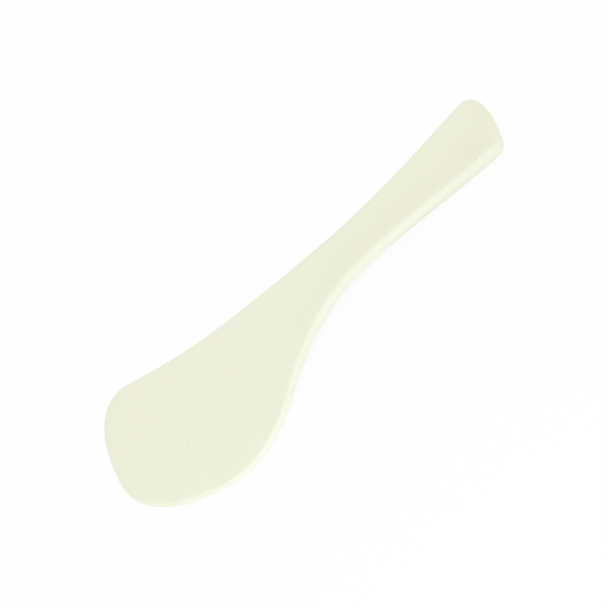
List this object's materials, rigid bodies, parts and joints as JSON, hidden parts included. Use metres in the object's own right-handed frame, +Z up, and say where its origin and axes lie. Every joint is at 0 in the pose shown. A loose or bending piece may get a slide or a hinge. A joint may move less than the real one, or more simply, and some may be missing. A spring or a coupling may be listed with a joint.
{
  "type": "rice serving spoon",
  "caption": "Flat moulded rice serving spoon with a broad blade that bulges to one side, a slim neck and a handle that widens to a rounded, slanting end.",
  "frame": {"origin": "on the surface the spoon lies on, under the middle of its box", "axes": "+X along the handle to the front of the blade, +Y across to the side where the blade bulges, +Z up from the surface"},
  "size_m": [0.195, 0.0658, 0.0094],
  "materials": {
    "ivory_melamine": "satin moulded melamine, ivory with a slight green tint"
  },
  "bodies": {
    "root": {"rice_spoon": "ivory_melamine"}
  },
  "joints": []
}
